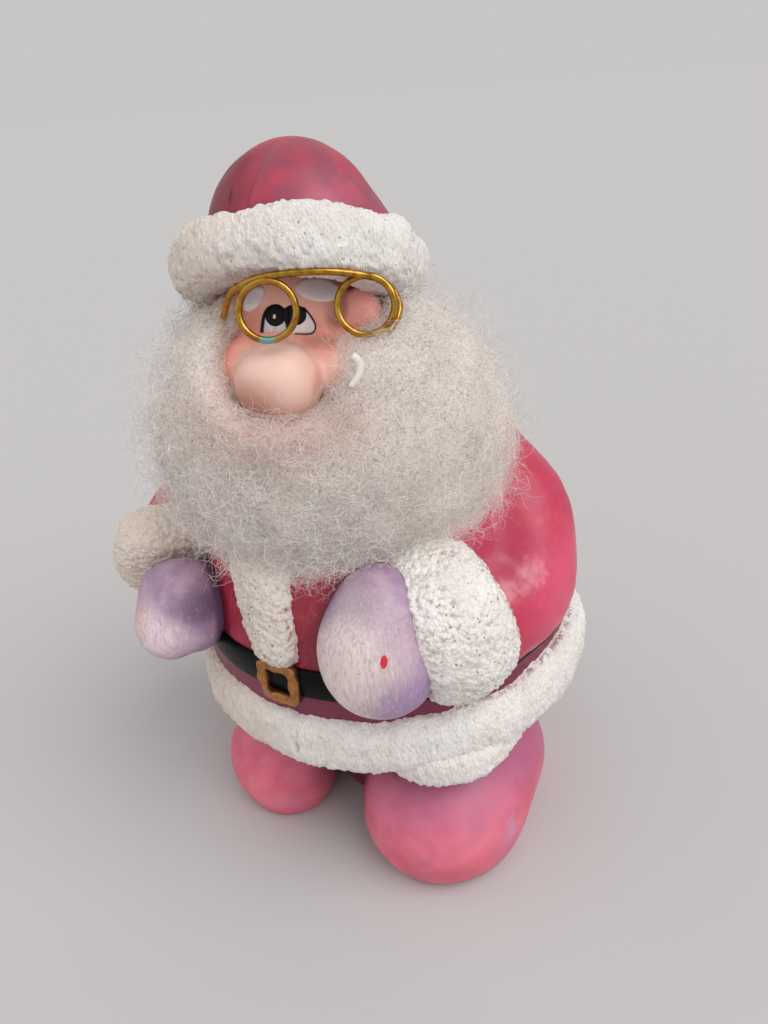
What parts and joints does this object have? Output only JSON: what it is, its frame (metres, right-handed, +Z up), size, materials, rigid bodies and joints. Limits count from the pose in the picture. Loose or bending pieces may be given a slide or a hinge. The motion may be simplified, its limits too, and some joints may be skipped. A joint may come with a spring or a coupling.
{
  "type": "santa figurine",
  "caption": "Stout cast Santa figurine in painted ceramic, hands held over the belt, with a fluffy fibre beard glued round the face and a wire of round spectacles",
  "frame": {"origin": "on the flat underside of the legs, on the floor under the jacket's axis", "axes": "+Z up, -Y the figure's front, +X the figure's own left"},
  "size_m": [0.0842, 0.0731, 0.1261],
  "materials": {
    "ceramic": "cold-painted ceramic, satin to gloss, with rough white fur trim",
    "fibre": "fine curly grey-white fibre, matt",
    "brass": "bright drawn wire, slightly tarnished"
  },
  "bodies": {
    "root": {"figure": "ceramic", "beard": "fibre", "spectacles": "brass"}
  },
  "joints": []
}
